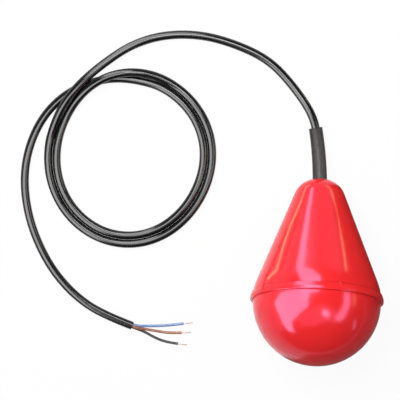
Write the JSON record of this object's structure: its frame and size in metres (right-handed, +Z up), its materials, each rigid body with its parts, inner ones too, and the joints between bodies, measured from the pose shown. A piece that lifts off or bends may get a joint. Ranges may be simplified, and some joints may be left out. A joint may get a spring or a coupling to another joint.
{
  "type": "cable float switch",
  "caption": "Red conical level float with a domed base, a rubber bend sleeve and a loosely coiled multi-core cable with a stripped end.",
  "frame": {"origin": "on the surface it lies on, under the middle of the float with its bend sleeve, the free cable left out", "axes": "+Y along the float from its dome to its tip as it lies, +Z up, +X to the side away from the coil"},
  "size_m": [0.3477, 0.3053, 0.1192],
  "materials": {
    "red_shell": "glossy moulded",
    "sleeve_rubber": "matte, faint sheen",
    "seal_rubber": "soft satin",
    "cable_jacket": "glossy",
    "blue_core_jacket": "glossy",
    "brown_core_jacket": "glossy",
    "black_core_jacket": "glossy",
    "bare_copper": "bare drawn wire",
    "bright_steel": "bright plated",
    "ball_steel": "polished",
    "ballast_iron": "as cast",
    "works_plastic": "natural",
    "tube_plastic": "smooth natural",
    "case_plastic": "moulded",
    "plunger_plastic": "moulded",
    "contact_brass": "stamped"
  },
  "bodies": {
    "float": {"upper_shell": "red_shell", "lower_shell": "red_shell", "joint_seal": "seal_rubber", "bend_sleeve": "sleeve_rubber", "gland_seal": "seal_rubber", "gland_washer": "bright_steel", "gland_nut": "works_plastic", "cable_inner": "cable_jacket", "cable_lead_in": "cable_jacket", "cable_coil": "cable_jacket", "cable_lead_out": "cable_jacket", "ballast": "ballast_iron", "ballast_washer": "bright_steel", "ballast_screw": "bright_steel", "carrier": "works_plastic", "carrier_screws": "bright_steel", "ball_tube": "tube_plastic", "ball_tube_cap": "tube_plastic", "switch_case": "case_plastic", "switch_cover": "case_plastic", "switch_screws": "bright_steel", "lever_pin": "bright_steel", "switch_blades": "contact_brass", "blade_sleeves": "plunger_plastic", "blue_core": "blue_core_jacket", "blue_core_inner": "blue_core_jacket", "blue_strand": "bare_copper", "brown_core": "brown_core_jacket", "brown_core_inner": "brown_core_jacket", "brown_strand": "bare_copper", "black_core": "black_core_jacket", "black_core_inner": "black_core_jacket", "black_strand": "bare_copper"},
    "ball": {"steel_ball": "ball_steel"},
    "lever": {"switch_lever": "bright_steel"},
    "plunger": {"switch_plunger": "plunger_plastic"}
  },
  "joints": [
    {"name": "ball_roll", "type": "slide", "parent": "float", "child": "ball", "axis": [0, -0.9346, 0.3558], "range_m": [0, 0.00959]},
    {"name": "lever_hinge", "type": "hinge", "parent": "float", "child": "lever", "pos_m": [0, -0.03413, 0.07429], "axis": [-1, 0, 0], "range_deg": [0, 15.21]},
    {"name": "plunger_slide", "type": "slide", "parent": "float", "child": "plunger", "axis": [0, -0.9346, 0.3558], "range_m": [0, 0.00166], "stiffness_N_per_m": 50}
  ],
  "couplings": [
    {"joint": "lever_hinge", "follows": "ball_roll", "rad_per_m": 27.655},
    {"joint": "plunger_slide", "follows": "ball_roll", "ratio": 0.17296}
  ]
}
